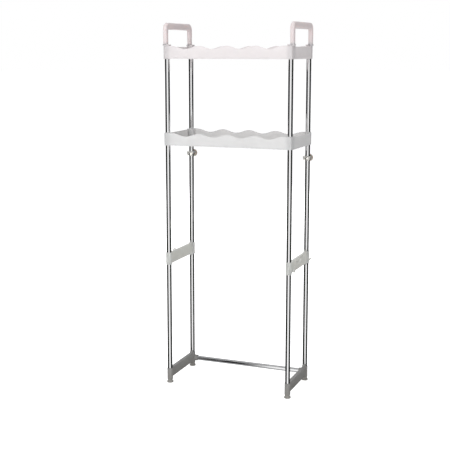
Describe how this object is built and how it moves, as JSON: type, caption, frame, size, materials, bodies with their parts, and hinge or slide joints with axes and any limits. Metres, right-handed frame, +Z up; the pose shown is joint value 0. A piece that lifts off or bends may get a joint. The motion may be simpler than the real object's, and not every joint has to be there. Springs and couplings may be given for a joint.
{
  "type": "over-the-toilet storage rack",
  "caption": "Free-standing rack that straddles a toilet: two wavy-rimmed trays on steel tube legs, with carrying handles, side rails, screw feet and wall suction cups.",
  "frame": {"origin": "on the floor, at the centre of the footprint from the front of the feet to the wall plane of the suction cups", "axes": "+Z up, +Y towards the wall, +X to the rack's right seen from the front"},
  "size_m": [0.544, 0.269, 1.437],
  "materials": {
    "tray_plastic": "satin moulded, white",
    "handle_plastic": "satin moulded, pinkish white",
    "rail_plastic": "fine moulded texture, light warm grey",
    "base_plastic": "fine moulded texture, mid grey",
    "foot_plastic": "matt, light grey",
    "tube_steel": "polished stainless",
    "screw_steel": "zinc plated",
    "clip_plastic": "clear moulded, slightly smoky",
    "cup_rubber": "smooth, slightly translucent grey"
  },
  "bodies": {
    "frame": {"top_tray": "tray_plastic", "middle_tray": "tray_plastic", "handle_left": "handle_plastic", "handle_right": "handle_plastic", "side_rail_left": "rail_plastic", "side_rail_right": "rail_plastic", "base_bracket_left": "base_plastic", "base_bracket_right": "base_plastic", "rear_cross_tube": "tube_steel", "front_left_lower_tube": "tube_steel", "front_left_middle_tube": "tube_steel", "front_left_upper_tube": "tube_steel", "rear_left_lower_tube": "tube_steel", "rear_left_middle_tube": "tube_steel", "rear_left_upper_tube": "tube_steel", "front_right_lower_tube": "tube_steel", "front_right_middle_tube": "tube_steel", "front_right_upper_tube": "tube_steel", "rear_right_lower_tube": "tube_steel", "rear_right_middle_tube": "tube_steel", "rear_right_upper_tube": "tube_steel"},
    "foot_front_left": {"foot_pad_front_left": "foot_plastic", "foot_screw_front_left": "screw_steel"},
    "foot_rear_left": {"foot_pad_rear_left": "foot_plastic", "foot_screw_rear_left": "screw_steel"},
    "foot_front_right": {"foot_pad_front_right": "foot_plastic", "foot_screw_front_right": "screw_steel"},
    "foot_rear_right": {"foot_pad_rear_right": "foot_plastic", "foot_screw_rear_right": "screw_steel"},
    "anchor_left": {"anchor_clip_left": "clip_plastic", "suction_cup_left": "cup_rubber"},
    "anchor_right": {"anchor_clip_right": "clip_plastic", "suction_cup_right": "cup_rubber"}
  },
  "joints": [
    {"name": "foot_front_left_screw", "type": "slide", "parent": "frame", "child": "foot_front_left", "axis": [0, 0, -1], "range_m": [0, 0.01]},
    {"name": "foot_rear_left_screw", "type": "slide", "parent": "frame", "child": "foot_rear_left", "axis": [0, 0, -1], "range_m": [0, 0.01]},
    {"name": "foot_front_right_screw", "type": "slide", "parent": "frame", "child": "foot_front_right", "axis": [0, 0, -1], "range_m": [0, 0.01]},
    {"name": "foot_rear_right_screw", "type": "slide", "parent": "frame", "child": "foot_rear_right", "axis": [0, 0, -1], "range_m": [0, 0.01]},
    {"name": "anchor_left_turn", "type": "hinge", "parent": "frame", "child": "anchor_left", "pos_m": [-0.25, 0.1065, 0.912], "axis": [0, 0, 1], "continuous": true},
    {"name": "anchor_right_turn", "type": "hinge", "parent": "frame", "child": "anchor_right", "pos_m": [0.25, 0.1065, 0.912], "axis": [0, 0, 1], "continuous": true}
  ]
}
